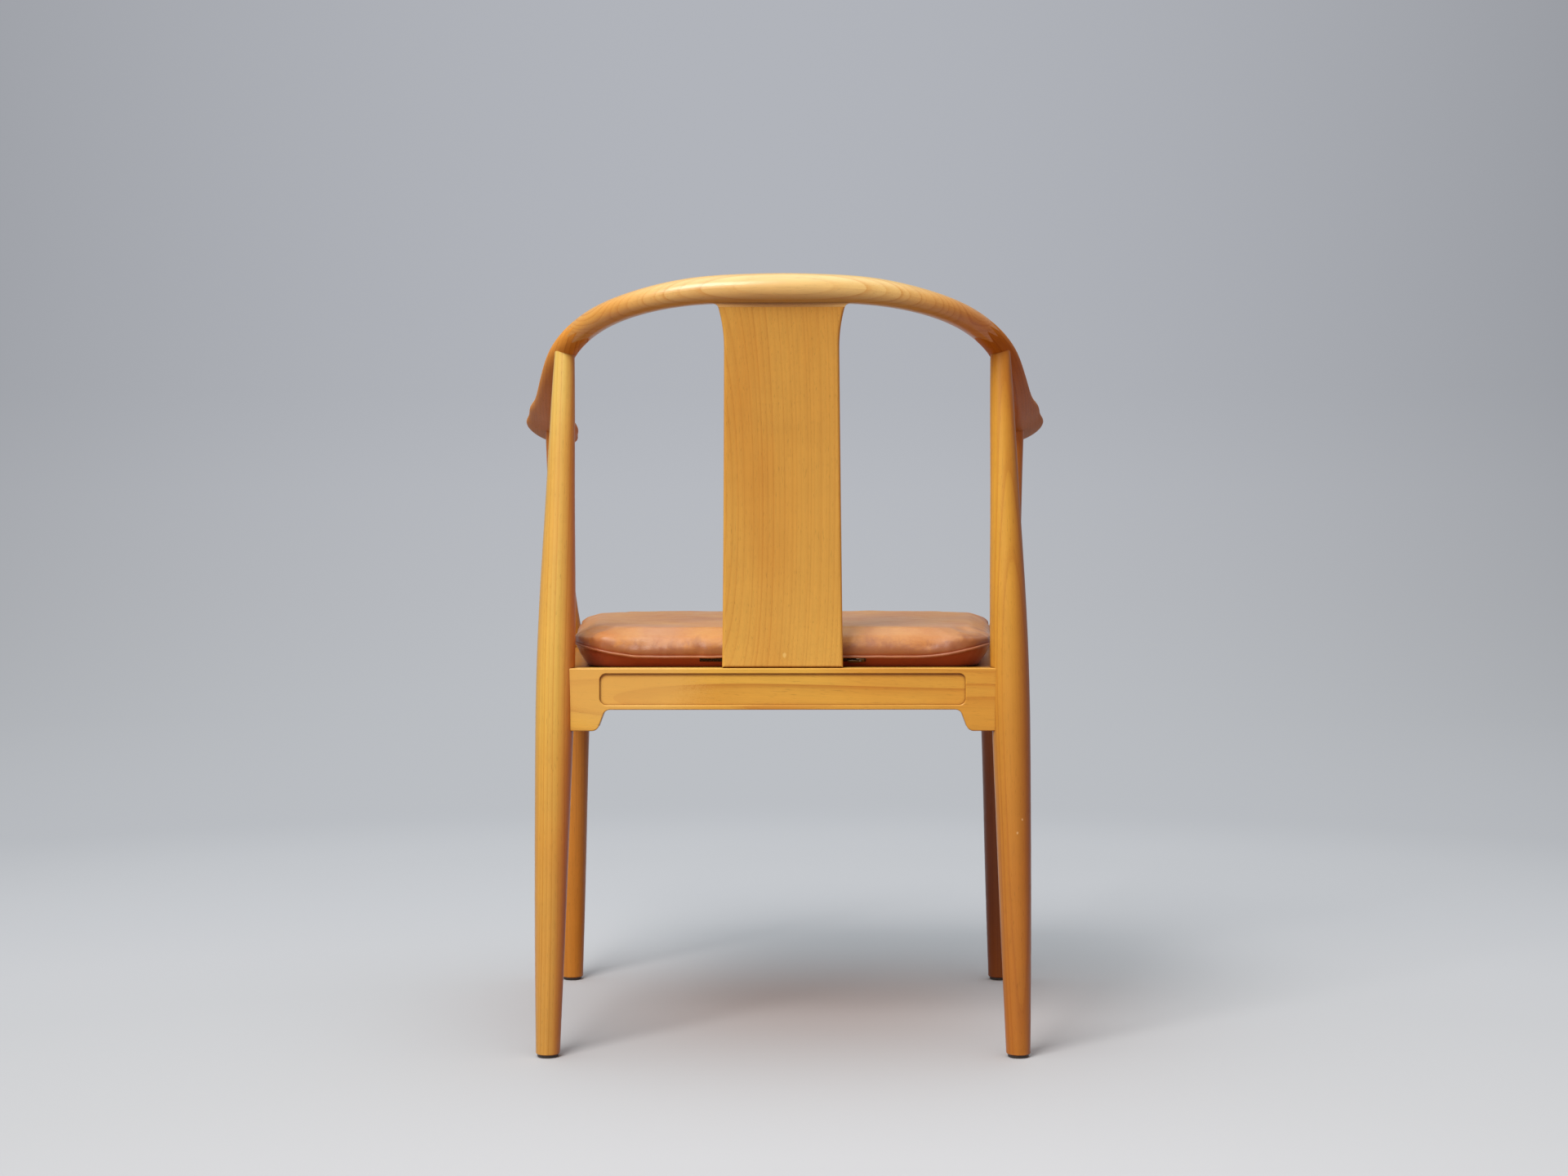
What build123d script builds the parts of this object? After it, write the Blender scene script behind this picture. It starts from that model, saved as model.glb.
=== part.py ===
from build123d import *
import os

os.makedirs("parts", exist_ok=True)

# Horseshoe back armchair. Millimetres, +Z up. The sitter faces -Y and the back stands towards +Y.
# The origin is on the floor, under the middle of the chair. Left is the sitter's left, towards +X.

# Overall
overall_height = 820
overall_depth = 550

# Horseshoe rail
crest_half_depth = 17.5
crest_half_height = 15.2
crest_y = overall_depth / 2 - crest_half_depth
crest_z = overall_height - crest_half_height

# Where the posts meet the rail's centreline: out from the middle, forward of the crest and
# below the crest.
rear_post_joint = (230.6, 116, 54)
front_post_joint = (275.5, 430, 126.6)

# Stations from the middle of the crest to the tip of an arm. Each is out, forward, below,
# half the width and half the height.
rail_stations = (
    (0, 0, 0, crest_half_depth, crest_half_height),
    (44, 2, 0.5, 17.4, 14.9),
    (86, 8, 2.3, 17, 14.2),
    (153, 31, 13.8, 16, 12.7),
    (198, 68.5, 30.2, 14.8, 12.5),
    (*rear_post_joint, 14.3, 12.3),
    (247, 173, 76, 14.5, 12.6),
    (260, 252, 95.5, 15.3, 12.6),
    (270, 332, 109.5, 19, 12.5),
    (274.5, 385, 117.5, 25, 12.4),
    (*front_post_joint, 30.4, 12.3),
    (281, 473, 132.4, 32, 12.2),
    (282, 503, 136.6, 30, 11.4),
    (282, 521, 138.7, 23, 9.3),
    (282, 530, 139.7, 12, 6),
)
arm_tip = (282, 532.5, 139.9)
crest_last_station = 6
arm_first_station = 3
rail_section_spacing = 15

# The arm's outer edge lifts by this angle between these distances from the crest's middle.
arm_roll = 17
arm_roll_start = 395
arm_roll_end = 590

# Finger joints between the crest and the arms
finger_setback = 40
finger_count = 5
finger_length = 17
finger_pitch = 6.4
finger_tip = 0.8

# Posts
glide_radius = 11
glide_thickness = 3
glide_nail_radius = 1.2
glide_nail_length = 14
glide_round = 1
foot_chamfer = 1.2

rear_foot_out = 249
rear_foot_back = 191
rear_seat_bow = 1.4
rear_top_set_out = 1.1
rear_top_set_back = 3
front_foot_out = 260.9
front_foot_forward = 229
front_knee_out = 257.2
front_knee_height = 330
front_seat_out = 260.5

rear_foot_radius = 12.7
rear_seat_radius = 20.5
rear_top_radius = 10.4
front_foot_radius = 12.8
front_seat_radius = 19.2
front_top_radius = 9.5

post_tenon_radius = 6.5
post_tenon_root = 30
post_tenon_reach = 4

post_sections = 16

# The swell of a post: share of the way, share of the swell, from foot to seat and seat to top
swell_below = ((0.36, 0.47), (0.73, 0.83))
rear_swell_above = ((0.26, 0.87), (0.55, 0.52), (0.79, 0.28))
front_swell_above = ((0.24, 0.68), (0.5, 0.42), (0.79, 0.2))

# Above the seat the front post leans out first and back later: share of the lean outwards,
# share of the lean backwards and share of the rise.
front_post_bend = ((0.48, 0.14, 0.22), (0.68, 0.42, 0.49), (0.8, 0.7, 0.74))

# Seat rails
seat_rail_top = 410.8
seat_rail_height = 44
seat_rail_thickness = 24
bracket_drop = 22.6
bracket_length = 45
bracket_slope = 8.5
bracket_round = 8
panel_margin_top = 5.8
panel_margin_bottom = 5
panel_end_margin = 48
panel_depth = 3
panel_corner = 7
panel_rim_round = 1.2
rail_edge_round = 1.2
rail_tenon_height = 30
rail_tenon_stop = 7

seat_rail_bottom = seat_rail_top - seat_rail_height

# Seat board and corner blocks
seat_board_thickness = 10
seat_board_below_rail = 3
rebate_width = 8
post_clearance = 2.5

block_reach = 80
block_height = 26
screw_head_radius = 4
screw_shank_radius = 2
screw_head_depth = 2.5
screw_point = 5
screw_offset = 45
screw_into_rail = 14
screw_sink = 3
screw_bore_gap = 0.3

seat_board_top = seat_rail_top - seat_board_below_rail
rebate_floor = seat_board_top - seat_board_thickness
rail_tenon_thickness = seat_rail_thickness - 2 * rebate_width

# Back splat
splat_thickness = 12
splat_bottom_half_width = 64
splat_waist_half_width = 59.2
splat_top_half_width = 64.6
splat_waist_drop = 41
splat_set_back = 3
splat_top_forward = 5
splat_lean = 1.7
splat_spine_shares = (0, 0.3, 0.58, 0.8, 1)
splat_edge_round = 3
shoulder_drop = 4
shoulder_flare = 14
shoulder_rise = 4.2
splat_tenon_thickness = 7
splat_tenon_shoulder = 10
splat_tenon_length = 12

# Loose cushion
cushion_front_inset = 15.5
cushion_rear_inset = 19.6
cushion_front_overhang = 1
cushion_back_gap = 12.4
cushion_corner = 60
cushion_corner_follow = 0.5
cushion_gap = 0.3
cushion_welt_rise = 13
cushion_rise = 44
cushion_tuck = 18
cushion_crown_round = 27
cover_thickness = 2
core_gap = 0.5
piping_radius = 2.2
zip_length = 178
zip_width = 5
zip_thickness = 1.6
zip_drop = 5


# Horseshoe rail blank
def rail_point(out, forward, below):
    return Vector(out, crest_y - forward, crest_z - below)


def mirrored(point):
    return Vector(-point.X, point.Y, point.Z)


left_stations = [(rail_point(*row[:3]), *row[3:]) for row in rail_stations]
right_stations = [(mirrored(point), *section) for point, *section in left_stations]

with BuildLine() as rail_centreline:
    Spline(*[point for point, *_ in right_stations[:0:-1] + left_stations])
rail_path = rail_centreline.edge()


def rail_roll(share):
    """How far the section has rolled at a share of the rail's length."""
    from_middle = abs(share - 0.5) * rail_path.length
    way = min(1, max(0, (from_middle - arm_roll_start) / (arm_roll_end - arm_roll_start)))
    return arm_roll * way**2 * (3 - 2 * way)


def rail_loft(stations, tip=None):
    """Evenly spaced elliptical sections square to the centreline, joined into one smooth solid."""
    with BuildLine() as profile:
        Spline(
            *[
                (rail_path.param_at_point(centre) * rail_path.length, half_width, half_height)
                for centre, half_width, half_height in stations
            ]
        )
    measures = profile.edge()
    steps = round(measures.length / rail_section_spacing)
    with BuildPart() as length:
        sections = []
        for step in range(steps + 1):
            station = measures @ (step / steps)
            share = station.X / rail_path.length
            along = rail_path % share
            across = Vector(0, 0, 1).cross(along).normalized()
            lifted = across.rotate(Axis((0, 0, 0), along), rail_roll(share))
            plane = Plane(origin=rail_path @ share, x_dir=lifted, z_dir=along)
            with BuildSketch(plane, mode=Mode.PRIVATE) as section:
                Ellipse(station.Y, station.Z)
            sections.append(section.sketch)
        if tip:
            sections.append(Vertex(tip))
        loft(sections=sections)
    return length.part


# The crest and each arm are shaped past the finger joint, so that they run into each other there.
crest_blank = rail_loft(right_stations[crest_last_station:0:-1] + left_stations[:crest_last_station + 1])
left_arm_blank = rail_loft(left_stations[arm_first_station:], tip=rail_point(*arm_tip))
right_arm_blank = mirror(left_arm_blank, about=Plane.YZ)


# Post blanks
def post_blank(path, seat_share, radii, swell_above):
    """A turned post, thickest at the seat, cut level at the foot with a chamfered edge."""
    foot, seat, top = radii
    below = seat_share * path.length
    above = path.length - below
    with BuildLine() as profile:
        Spline(
            (0, foot),
            *[(below * way, foot + (seat - foot) * swell) for way, swell in swell_below],
            (below, seat),
            *[(below + above * way, top + (seat - top) * swell) for way, swell in swell_above],
            (path.length, top),
        )
    turned = profile.edge()
    with BuildPart() as blank:
        for step in range(post_sections + 1):
            station = turned @ (step / post_sections)
            share = station.X / path.length
            along = path % share
            across = Vector(0, 1, 0).cross(along).normalized()
            with BuildSketch(Plane(origin=path @ share, x_dir=across, z_dir=along)):
                Circle(station.Y)
        loft()
        foot_centre = path @ 0
        with Locations((foot_centre.X, foot_centre.Y, glide_thickness)):
            Cone(
                bottom_radius=foot - foot_chamfer,
                top_radius=foot - foot_chamfer + overall_height,
                height=overall_height,
                align=(Align.CENTER, Align.CENTER, Align.MIN),
                mode=Mode.INTERSECT,
            )
    return blank.part


rear_rail_joint = rail_point(*rear_post_joint)
rear_post_top = rear_rail_joint + Vector(rear_top_set_out, rear_top_set_back, 0)
front_post_top = rail_point(*front_post_joint)

rail_middle = seat_rail_top - seat_rail_height / 2

# The rear post bows out a little at the seat.
rear_foot = Vector(rear_foot_out, rear_foot_back, 0)
rear_seat = rear_foot + (rear_post_top - rear_foot) * (rail_middle / rear_post_top.Z)
rear_seat += Vector(rear_seat_bow, 0, 0)

with BuildLine() as rear_post_line:
    ThreePointArc(rear_foot, rear_seat, rear_post_top)
rear_post_path = rear_post_line.edge()

front_knee = Vector(front_knee_out, -front_foot_forward, front_knee_height)
front_seat = Vector(front_seat_out, -front_foot_forward, rail_middle)
seat_to_arm = front_post_top - front_seat

with BuildLine() as front_post_line:
    lower = Line((front_foot_out, -front_foot_forward, 0), front_knee)
    Spline(
        front_knee,
        front_seat,
        *[
            front_seat + Vector(out * seat_to_arm.X, back * seat_to_arm.Y, rise * seat_to_arm.Z)
            for out, back, rise in front_post_bend
        ],
        front_post_top,
        tangents=(lower % 1, seat_to_arm),
    )
front_post_path = front_post_line.wire()

rear_seat_share = rear_post_path.param_at_point(rear_seat)
front_seat_share = front_post_path.param_at_point(front_seat)

rear_post_blank = post_blank(
    rear_post_path,
    rear_seat_share,
    (rear_foot_radius, rear_seat_radius, rear_top_radius),
    rear_swell_above,
)
front_post_blank = post_blank(
    front_post_path,
    front_seat_share,
    (front_foot_radius, front_seat_radius, front_top_radius),
    front_swell_above,
)

rear_axis = rear_post_path @ rear_seat_share
front_axis = front_post_path @ front_seat_share


def post_tenon(path):
    """The round tenon that a post sends up into the horseshoe rail."""
    with BuildPart() as tenon:
        with BuildSketch(Plane(origin=path @ 1, z_dir=path % 1)):
            Circle(post_tenon_radius)
        extrude(amount=post_tenon_reach)
        with BuildSketch(Plane(origin=path @ 1, z_dir=path % 1)):
            Circle(post_tenon_radius)
        extrude(amount=-post_tenon_root)
    return tenon.part


rear_post_tenon = post_tenon(rear_post_path)
front_post_tenon = post_tenon(front_post_path)


# Seat rail blanks
def seat_corner(axis, side):
    return (side * axis.X, axis.Y)


post_centres = (
    seat_corner(rear_axis, 1),
    seat_corner(rear_axis, -1),
    seat_corner(front_axis, -1),
    seat_corner(front_axis, 1),
)
post_radii = (rear_seat_radius, rear_seat_radius, front_seat_radius, front_seat_radius)

with BuildPart() as rebate_tool:
    with BuildSketch(Plane.XY.offset(rebate_floor)):
        Polygon(*post_centres, align=None)
        offset(amount=rebate_width - seat_rail_thickness / 2, kind=Kind.INTERSECTION)
    extrude(amount=seat_rail_top)


def seat_rail_plane(start, end):
    """The vertical plane through two post axes, with its normal pointing out of the chair."""
    direction = Vector(*end, 0) - Vector(*start, 0)
    outward = direction.cross(Vector(0, 0, 1)).normalized()
    middle = (Vector(*start, 0) + Vector(*end, 0)) * 0.5
    return Plane(origin=middle, x_dir=direction.normalized(), z_dir=outward)


def rail_tenons(plane, half_length):
    """Both tenons of one seat rail, as one bar that runs from post to post."""
    with BuildPart() as bar:
        with BuildSketch(plane):
            with Locations((0, rail_middle)):
                Rectangle(2 * (half_length - rail_tenon_stop), rail_tenon_height)
        extrude(amount=rail_tenon_thickness / 2, both=True)
    return bar.part


def seat_rail(plane, half_length, posts):
    """One seat rail with its end brackets, sunk panel, rebate and tenons."""
    bracket_foot = seat_rail_bottom - bracket_drop
    toe = half_length - bracket_length
    toe_margin = bracket_length / 2
    arch = toe - bracket_slope
    with BuildPart() as rail:
        with BuildSketch(plane) as outline:
            with BuildLine():
                Polyline(
                    (-half_length, seat_rail_top),
                    (-half_length, bracket_foot),
                    (-toe, bracket_foot),
                    (-arch, seat_rail_bottom),
                    (arch, seat_rail_bottom),
                    (toe, bracket_foot),
                    (half_length, bracket_foot),
                    (half_length, seat_rail_top),
                    close=True,
                )
            make_face()
            ogee = [
                corner
                for corner in outline.vertices()
                if abs(plane.to_local_coords(corner).X) < half_length - toe_margin
            ]
            fillet(ogee, bracket_round)
        extrude(amount=seat_rail_thickness / 2, both=True)
        broad_faces = rail.faces().filter_by(Axis(plane.origin, plane.z_dir))
        fillet(broad_faces.edges(), rail_edge_round)
        with BuildSketch(plane.offset(seat_rail_thickness / 2)):
            with Locations((0, seat_rail_bottom + panel_margin_bottom)):
                RectangleRounded(
                    2 * (half_length - panel_end_margin),
                    seat_rail_height - panel_margin_top - panel_margin_bottom,
                    panel_corner,
                    align=(Align.CENTER, Align.MIN),
                )
        extrude(amount=-panel_depth, mode=Mode.SUBTRACT)
        rim = rail.edges(Select.LAST).filter_by(
            lambda edge: plane.to_local_coords(edge.center()).Z > (seat_rail_thickness - panel_depth) / 2
        )
        fillet(rim, panel_rim_round)
        add(rebate_tool.part, mode=Mode.SUBTRACT)
        for post in posts:
            add(post, mode=Mode.SUBTRACT)
        add(rail_tenons(plane, half_length))
    return rail.part


right_rear_post_blank = mirror(rear_post_blank, about=Plane.YZ)
right_front_post_blank = mirror(front_post_blank, about=Plane.YZ)

side_half_length = (Vector(*post_centres[0]) - Vector(*post_centres[3])).length / 2

back_plane = seat_rail_plane(post_centres[0], post_centres[1])
front_plane = seat_rail_plane(post_centres[2], post_centres[3])
left_plane = seat_rail_plane(post_centres[3], post_centres[0])

back_rail_blank = seat_rail(back_plane, rear_axis.X, (rear_post_blank, right_rear_post_blank))
front_rail_blank = seat_rail(front_plane, front_axis.X, (front_post_blank, right_front_post_blank))
left_rail_blank = seat_rail(left_plane, side_half_length, (rear_post_blank, front_post_blank))


# Glides
def glide(path):
    """A hard disc under one foot, with its nail driven up into the post."""
    foot = path @ 0
    with BuildPart() as disc:
        with BuildSketch():
            with Locations((foot.X, foot.Y)):
                Circle(glide_radius)
        extrude(amount=glide_thickness)
        fillet(disc.edges().group_by(Axis.Z)[0], glide_round)
        with BuildSketch(Plane.XY.offset(glide_thickness)):
            with Locations((foot.X, foot.Y)):
                Circle(glide_nail_radius)
        extrude(amount=glide_nail_length)
    return disc.part


left_rear_glide = glide(rear_post_path)
left_front_glide = glide(front_post_path)

# Posts
left_rail_tenons = rail_tenons(left_plane, side_half_length)
back_rail_tenons = rail_tenons(back_plane, rear_axis.X)
front_rail_tenons = rail_tenons(front_plane, front_axis.X)


def finished_post(blank, tenon, rail_tenon_pair, glide_solid):
    """A post with its round tenon, its two mortises and the hole for the glide's nail."""
    with BuildPart() as post:
        add(blank)
        add(left_arm_blank, mode=Mode.SUBTRACT)
        add(tenon)
        for tenons in rail_tenon_pair:
            add(tenons, mode=Mode.SUBTRACT)
        add(glide_solid, mode=Mode.SUBTRACT)
    return post.part


with BuildPart() as leg_rear_left:
    add(finished_post(rear_post_blank, rear_post_tenon,
                      (left_rail_tenons, back_rail_tenons), left_rear_glide))

with BuildPart() as leg_front_left:
    add(finished_post(front_post_blank, front_post_tenon,
                      (left_rail_tenons, front_rail_tenons), left_front_glide))

with BuildPart() as leg_rear_right:
    mirror(leg_rear_left.part, about=Plane.YZ)

with BuildPart() as leg_front_right:
    mirror(leg_front_left.part, about=Plane.YZ)

# Finger joint
joint_share = rail_path.param_at_point(rear_rail_joint) - finger_setback / rail_path.length
joint_along = rail_path % joint_share
joint_across = Vector(0, 0, 1).cross(joint_along).normalized()
joint_plane = Plane(
    origin=rail_path @ joint_share,
    x_dir=joint_along,
    z_dir=joint_across,
)

# The fingers run along the rail and stack across its height. The tool takes everything on the
# arm's side of the zigzag.
finger_points = []
for step in range(-finger_count, finger_count + 1):
    reach = finger_length / 2 if step % 2 else -finger_length / 2
    height = step * finger_pitch / 2
    finger_points += [(reach, height - finger_tip / 2), (reach, height + finger_tip / 2)]

with BuildPart() as left_arm_side:
    with BuildSketch(joint_plane):
        Polygon(
            (overall_height, -overall_height),
            (finger_points[0][0], -overall_height),
            *finger_points,
            (finger_points[-1][0], overall_height),
            (overall_height, overall_height),
            align=None,
        )
    extrude(amount=overall_depth, both=True)
    split(bisect_by=Plane.YZ, keep=Keep.TOP)

with BuildPart() as arm_left:
    add(left_arm_blank)
    add(left_arm_side.part, mode=Mode.INTERSECT)
    add(rear_post_tenon, mode=Mode.SUBTRACT)
    add(front_post_tenon, mode=Mode.SUBTRACT)

with BuildPart() as arm_right:
    mirror(arm_left.part, about=Plane.YZ)

# Back splat
splat_foot_y = rear_axis.Y + splat_set_back
splat_head_y = crest_y - splat_top_forward
splat_top = crest_z - crest_half_height - shoulder_drop
splat_rise = splat_top - seat_rail_top
splat_run = splat_head_y - splat_foot_y


def splat_point(share):
    return (splat_foot_y + splat_run * share**splat_lean, seat_rail_top + splat_rise * share)


def splat_spine():
    """The splat's middle line, upright at the seat rail and leaning back at the crest."""
    Spline(
        *[splat_point(share) for share in splat_spine_shares],
        tangents=((0, 1), (splat_lean * splat_run, splat_rise)),
    )


with BuildLine(Plane.YZ) as splat_curve:
    splat_spine()
splat_path = splat_curve.edge()
splat_head = splat_path @ 1
splat_head_along = splat_path % 1
splat_head_plane = Plane(origin=splat_head, x_dir=(1, 0, 0), z_dir=splat_head_along)

with BuildPart() as splat_tongue:
    with BuildSketch(splat_head_plane):
        Rectangle(2 * (splat_waist_half_width - splat_tenon_shoulder), splat_tenon_thickness)
    extrude(amount=splat_tenon_length, both=True)

with BuildPart() as splat_stub:
    with BuildSketch(Plane.XY.offset(seat_rail_top)):
        with Locations((0, splat_foot_y)):
            Rectangle(2 * (splat_bottom_half_width - splat_tenon_shoulder), splat_tenon_thickness)
    extrude(amount=-splat_tenon_length)

splat_beyond = splat_head + splat_head_along * splat_thickness

with BuildPart() as back_splat:
    with BuildSketch(Plane.YZ):
        with BuildLine():
            Line((splat_foot_y, seat_rail_top - splat_thickness), splat_point(0))
            splat_spine()
            Line(splat_point(1), (splat_beyond.Y, splat_beyond.Z))
        trace(line_width=splat_thickness)
    extrude(amount=splat_top_half_width + splat_thickness, both=True)
    with BuildSketch(Plane.XZ):
        with BuildLine():
            taper = Line(
                (splat_bottom_half_width, seat_rail_top),
                (splat_waist_half_width, splat_top - splat_waist_drop),
            )
            neck = TangentArc(taper @ 1, (splat_top_half_width, splat_top), tangent=taper % 1)
            mirror(about=Plane.YZ)
            Line((-splat_bottom_half_width, seat_rail_top), (splat_bottom_half_width, seat_rail_top))
            Line((-splat_top_half_width, splat_top), (splat_top_half_width, splat_top))
        make_face()
    extrude(amount=-overall_depth, mode=Mode.INTERSECT)
    side_edges = back_splat.edges().filter_by(
        lambda edge: edge.length > 2 * splat_thickness
        and abs(edge.center().X) > splat_waist_half_width / 2
    )
    fillet(side_edges, splat_edge_round)
    add(splat_tongue.part)
    add(splat_stub.part)

# Crest rail
with BuildPart() as crest_rail:
    add(crest_blank)
    with BuildSketch(Plane.XZ.offset(-splat_head_y)):
        with BuildLine():
            flare = Spline(
                (splat_top_half_width, splat_top),
                (splat_top_half_width + shoulder_flare, splat_top + shoulder_rise),
                tangents=(neck % 1, (1, 0)),
            )
            Line(flare @ 1, (splat_top_half_width + shoulder_flare, crest_z))
            mirror(about=Plane.YZ)
            Line((-splat_top_half_width, splat_top), (splat_top_half_width, splat_top))
            Line(
                (-splat_top_half_width - shoulder_flare, crest_z),
                (splat_top_half_width + shoulder_flare, crest_z),
            )
        make_face()
    extrude(amount=splat_thickness / 2, both=True)
    add(left_arm_side.part, mode=Mode.SUBTRACT)
    add(mirror(left_arm_side.part, about=Plane.YZ), mode=Mode.SUBTRACT)
    add(splat_tongue.part, mode=Mode.SUBTRACT)


# Corner blocks and screws
def screw_at(head, direction, length):
    """A countersunk wood screw, from the middle of its head along its direction."""
    with BuildPart() as screw:
        with BuildSketch(Plane(origin=head, x_dir=(0, 0, 1), z_dir=Vector(0, 0, 1).cross(direction))):
            Polygon(
                (0, 0),
                (screw_head_radius, 0),
                (screw_shank_radius, screw_head_depth),
                (screw_shank_radius, length - screw_point),
                (0, length),
                align=None,
            )
        revolve(axis=Axis(head, direction))
    return screw.part


def counterbore_at(head, direction):
    with BuildPart() as bore:
        with BuildSketch(Plane(origin=head, z_dir=-direction)):
            Circle(screw_head_radius + screw_bore_gap)
        extrude(amount=block_reach)
    return bore.part


screw_head_place = block_reach - screw_offset - screw_head_radius - screw_sink
screw_length = screw_head_place - seat_rail_thickness / 2 + screw_into_rail
screw_height = rebate_floor - block_height / 2


def screw_places(axis, inward):
    """Head centre and direction of the two screws of a left corner block."""
    side_head = Vector(axis.X - screw_head_place, axis.Y + inward * screw_offset, screw_height)
    cross_head = Vector(axis.X - screw_offset, axis.Y + inward * screw_head_place, screw_height)
    return ((side_head, Vector(1, 0, 0)), (cross_head, Vector(0, -inward, 0)))


def corner_block(axis, inward, post_radius):
    """A triangular block in a left corner of the seat frame, bored for its screws."""
    with BuildPart() as block:
        with BuildSketch(Plane.XY.offset(rebate_floor)):
            Polygon(*post_centres, align=None)
            offset(amount=-seat_rail_thickness / 2, kind=Kind.INTERSECTION)
            Polygon(
                (axis.X, axis.Y),
                (axis.X - block_reach, axis.Y),
                (axis.X, axis.Y + inward * block_reach),
                align=None,
                mode=Mode.INTERSECT,
            )
            with Locations((axis.X, axis.Y)):
                Circle(post_radius + post_clearance, mode=Mode.SUBTRACT)
        extrude(amount=-block_height)
        for head, direction in screw_places(axis, inward):
            add(screw_at(head, direction, screw_length), mode=Mode.SUBTRACT)
            add(counterbore_at(head, direction), mode=Mode.SUBTRACT)
    return block.part


with BuildPart() as corner_block_rear_left:
    add(corner_block(rear_axis, -1, rear_seat_radius))

with BuildPart() as corner_block_front_left:
    add(corner_block(front_axis, 1, front_seat_radius))

with BuildPart() as corner_block_rear_right:
    mirror(corner_block_rear_left.part, about=Plane.YZ)

with BuildPart() as corner_block_front_right:
    mirror(corner_block_front_left.part, about=Plane.YZ)

with BuildPart() as corner_block_screws:
    for head, direction in screw_places(rear_axis, -1) + screw_places(front_axis, 1):
        add(screw_at(head, direction, screw_length))
    mirror(about=Plane.YZ)

# Seat rails
with BuildPart() as seat_rail_back:
    add(back_rail_blank)
    add(splat_stub.part, mode=Mode.SUBTRACT)
    add(corner_block_screws.part, mode=Mode.SUBTRACT)

with BuildPart() as seat_rail_front:
    add(front_rail_blank)
    add(corner_block_screws.part, mode=Mode.SUBTRACT)

with BuildPart() as seat_rail_left:
    add(left_rail_blank)
    add(seat_rail_back.part, mode=Mode.SUBTRACT)
    add(corner_block_screws.part, mode=Mode.SUBTRACT)

with BuildPart() as seat_rail_right:
    mirror(seat_rail_left.part, about=Plane.YZ)

# Seat board
with BuildPart() as seat_board:
    with BuildSketch(Plane.XY.offset(rebate_floor)):
        Polygon(*post_centres, align=None)
        offset(amount=rebate_width - seat_rail_thickness / 2, kind=Kind.INTERSECTION)
        for centre, radius in zip(post_centres, post_radii):
            with Locations(centre):
                Circle(radius + post_clearance, mode=Mode.SUBTRACT)
    extrude(amount=seat_board_thickness)

# Loose cushion
cushion_front_half_width = front_axis.X - cushion_front_inset
cushion_rear_half_width = rear_axis.X - cushion_rear_inset
cushion_front = -front_foot_forward - cushion_front_overhang
cushion_rear = splat_foot_y - splat_thickness / 2 - cushion_back_gap
cushion_bottom = seat_board_top + cushion_gap
cushion_welt = cushion_bottom + cushion_welt_rise
cushion_top = cushion_bottom + cushion_rise


def cushion_outline(height, inset):
    """The cushion's outline at one height, drawn in from its full width."""
    front = cushion_front_half_width - inset
    rear = cushion_rear_half_width - inset
    with BuildSketch(Plane.XY.offset(height), mode=Mode.PRIVATE) as outline:
        Polygon(
            (-front, cushion_front + inset),
            (front, cushion_front + inset),
            (rear, cushion_rear - inset),
            (-rear, cushion_rear - inset),
            align=None,
        )
        fillet(outline.vertices(), cushion_corner - cushion_corner_follow * inset)
    return outline.sketch


def cushion_form(skin, bottom):
    """The stuffed shape, with every surface but the bottom drawn in by the skin."""
    with BuildPart() as form:
        extrude(cushion_outline(cushion_welt, skin), amount=cushion_top - cushion_welt - skin)
        fillet(form.faces().sort_by(Axis.Z)[-1].edges(), cushion_crown_round - skin)
        loft(
            sections=[
                cushion_outline(bottom, cushion_tuck + skin),
                cushion_outline(cushion_welt, skin),
            ],
            ruled=True,
        )
    return form.part


with BuildPart() as cushion_piping:
    welt_line = cushion_outline(cushion_welt, 0).wire()
    with BuildSketch(Plane(origin=welt_line @ 0, z_dir=welt_line % 0)):
        Circle(piping_radius)
    sweep(path=welt_line)

zip_slope = Vector(0, -cushion_tuck, -cushion_welt_rise).normalized()
zip_normal = Vector(1, 0, 0).cross(zip_slope)
zip_origin = Vector(0, cushion_rear, cushion_welt) + zip_slope * zip_drop
with BuildPart() as cushion_zip:
    with BuildSketch(Plane(origin=zip_origin, x_dir=(1, 0, 0), z_dir=zip_normal)):
        Rectangle(zip_length, zip_width)
    extrude(amount=zip_thickness / 2, both=True)

with BuildPart() as cushion_cover:
    add(cushion_form(0, cushion_bottom))
    add(cushion_form(cover_thickness, cushion_bottom + cover_thickness), mode=Mode.SUBTRACT)
    add(cushion_piping.part, mode=Mode.SUBTRACT)
    add(cushion_zip.part, mode=Mode.SUBTRACT)

with BuildPart() as cushion_core:
    add(cushion_form(cover_thickness + core_gap, cushion_bottom + cover_thickness))

# Remaining glides
with BuildPart() as glide_rear_left:
    add(left_rear_glide)

with BuildPart() as glide_front_left:
    add(left_front_glide)

with BuildPart() as glide_rear_right:
    mirror(glide_rear_left.part, about=Plane.YZ)

with BuildPart() as glide_front_right:
    mirror(glide_front_left.part, about=Plane.YZ)

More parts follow.
